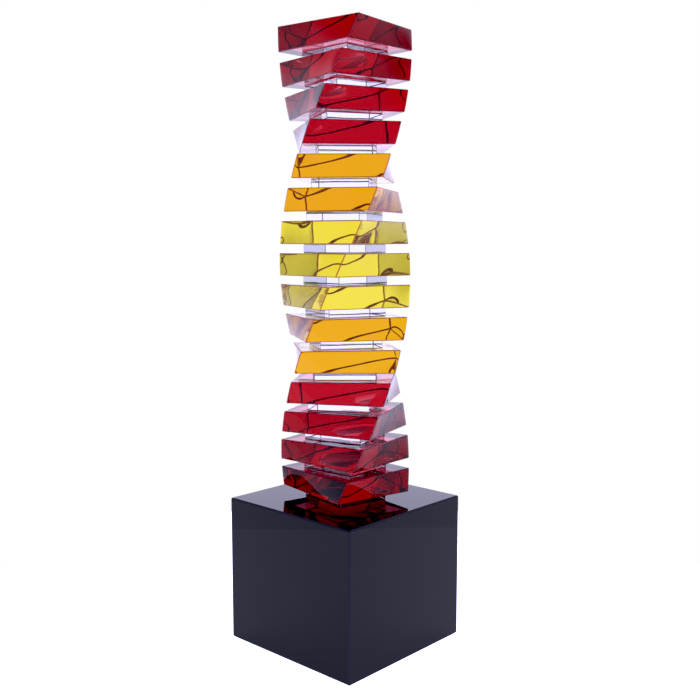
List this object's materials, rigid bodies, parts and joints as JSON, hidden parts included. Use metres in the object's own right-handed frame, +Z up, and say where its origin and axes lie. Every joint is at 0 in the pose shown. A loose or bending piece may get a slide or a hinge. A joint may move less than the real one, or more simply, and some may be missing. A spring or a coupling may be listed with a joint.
{
  "type": "column trophy",
  "caption": "Award column of twisted red, amber and yellow glass blocks stacked on clear spacers above a square polished black glass base.",
  "frame": {"origin": "middle of the base's underside, on the surface that the trophy stands on", "axes": "+Z up along the column, +X and +Y square to the base's sides"},
  "size_m": [0.1124, 0.1124, 0.415],
  "materials": {
    "black_glass": "polished opaque black glass",
    "clear_glass": "polished clear glass",
    "red_glass": "polished transparent red glass",
    "amber_glass": "polished transparent amber glass",
    "yellow_glass": "polished transparent yellow glass"
  },
  "bodies": {
    "root": {"black_base": "black_glass", "clear_spacer_01": "clear_glass", "red_block_01": "red_glass", "clear_spacer_02": "clear_glass", "red_block_02": "red_glass", "clear_spacer_03": "clear_glass", "red_block_03": "red_glass", "clear_spacer_04": "clear_glass", "red_block_04": "red_glass", "clear_spacer_05": "clear_glass", "amber_block_05": "amber_glass", "clear_spacer_06": "clear_glass", "amber_block_06": "amber_glass", "clear_spacer_07": "clear_glass", "yellow_block_07": "yellow_glass", "clear_spacer_08": "clear_glass", "yellow_block_08": "yellow_glass", "clear_spacer_09": "clear_glass", "yellow_block_09": "yellow_glass", "clear_spacer_10": "clear_glass", "amber_block_10": "amber_glass", "clear_spacer_11": "clear_glass", "amber_block_11": "amber_glass", "clear_spacer_12": "clear_glass", "red_block_12": "red_glass", "clear_spacer_13": "clear_glass", "red_block_13": "red_glass", "clear_spacer_14": "clear_glass", "red_block_14": "red_glass", "clear_spacer_15": "clear_glass", "red_block_15": "red_glass"}
  },
  "joints": []
}
